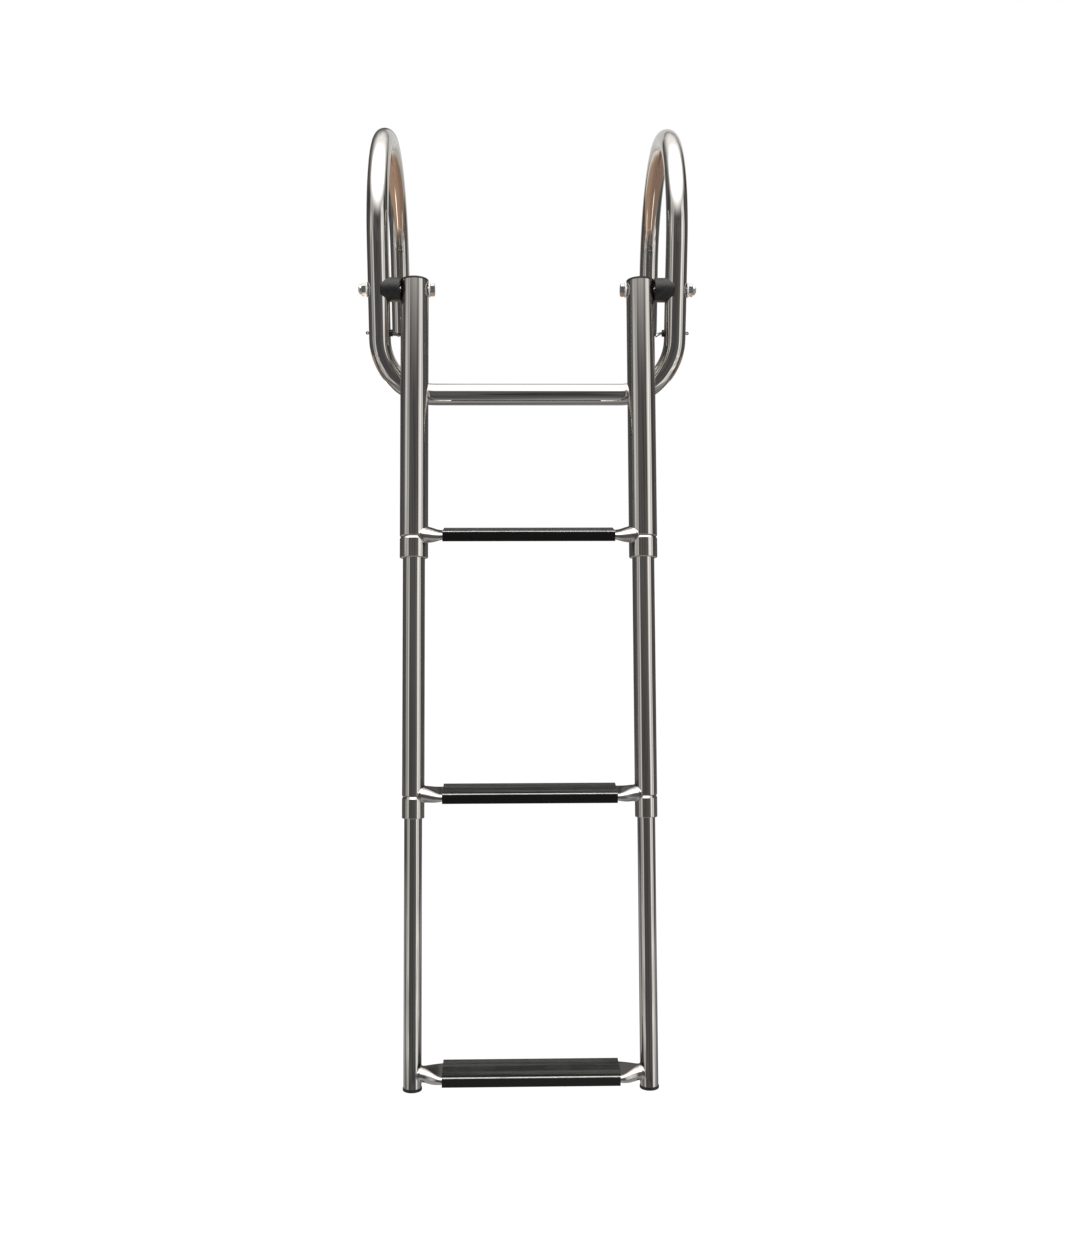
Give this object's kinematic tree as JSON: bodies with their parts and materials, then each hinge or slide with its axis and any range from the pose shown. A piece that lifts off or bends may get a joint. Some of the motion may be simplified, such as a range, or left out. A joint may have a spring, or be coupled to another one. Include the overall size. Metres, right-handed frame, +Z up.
{
  "type": "boat boarding ladder",
  "caption": "Hook-on boat boarding ladder of polished stainless tube, with telescoping sections, ribbed black treads and a hook frame that it folds on.",
  "frame": {"origin": "middle of the gunwale seat: the inside top of the two hook bends, midway between the hooks", "axes": "+X to the right as seen by the climber, +Y towards the boat, +Z up, with the ladder hanging as in use and its treads level"},
  "size_m": [0.3888, 0.5292, 1.0736],
  "materials": {
    "tube_steel": "polished stainless tube",
    "collar_steel": "polished turned stainless",
    "fastener_steel": "bright stainless fasteners",
    "tread_plastic": "satin ribbed plastic",
    "black_rubber": "satin black rubber",
    "guide_nylon": "natural nylon"
  },
  "bodies": {
    "hook_frame": {"left_hook": "tube_steel", "right_hook": "tube_steel", "cross_tube": "tube_steel", "joint_ferrules": "tube_steel", "split_pins": "fastener_steel", "pin_grommets": "black_rubber", "left_hook_plug": "black_rubber", "right_hook_plug": "black_rubber", "pivot_bolts": "fastener_steel", "pivot_nuts": "fastener_steel", "pivot_washers": "fastener_steel", "left_spacer": "black_rubber", "right_spacer": "black_rubber"},
    "upper_section": {"left_upper_tube": "tube_steel", "right_upper_tube": "tube_steel", "left_top_cap": "black_rubber", "right_top_cap": "black_rubber", "upper_step_tube": "tube_steel", "upper_tread": "tread_plastic", "left_upper_collar": "collar_steel", "right_upper_collar": "collar_steel", "upper_bushes": "guide_nylon"},
    "middle_section": {"left_middle_tube": "tube_steel", "right_middle_tube": "tube_steel", "middle_step_tube": "tube_steel", "middle_tread": "tread_plastic", "left_middle_collar": "collar_steel", "right_middle_collar": "collar_steel", "middle_bushes": "guide_nylon", "middle_stop_rings": "guide_nylon"},
    "lower_section": {"left_lower_tube": "tube_steel", "right_lower_tube": "tube_steel", "lower_step_tube": "tube_steel", "lower_tread": "tread_plastic", "left_foot_plug": "black_rubber", "right_foot_plug": "black_rubber", "lower_stop_rings": "guide_nylon"}
  },
  "joints": [
    {"name": "ladder_fold", "type": "hinge", "parent": "hook_frame", "child": "upper_section", "pos_m": [0, -0.1375, -0.1775], "axis": [-1, 0, 0], "range_deg": [0, 180]},
    {"name": "middle_slide", "type": "slide", "parent": "upper_section", "child": "middle_section", "axis": [0, 0.2533, 0.9674], "range_m": [0, 0.254]},
    {"name": "lower_slide", "type": "slide", "parent": "middle_section", "child": "lower_section", "axis": [0, 0.2533, 0.9674], "range_m": [0, 0.266]}
  ]
}
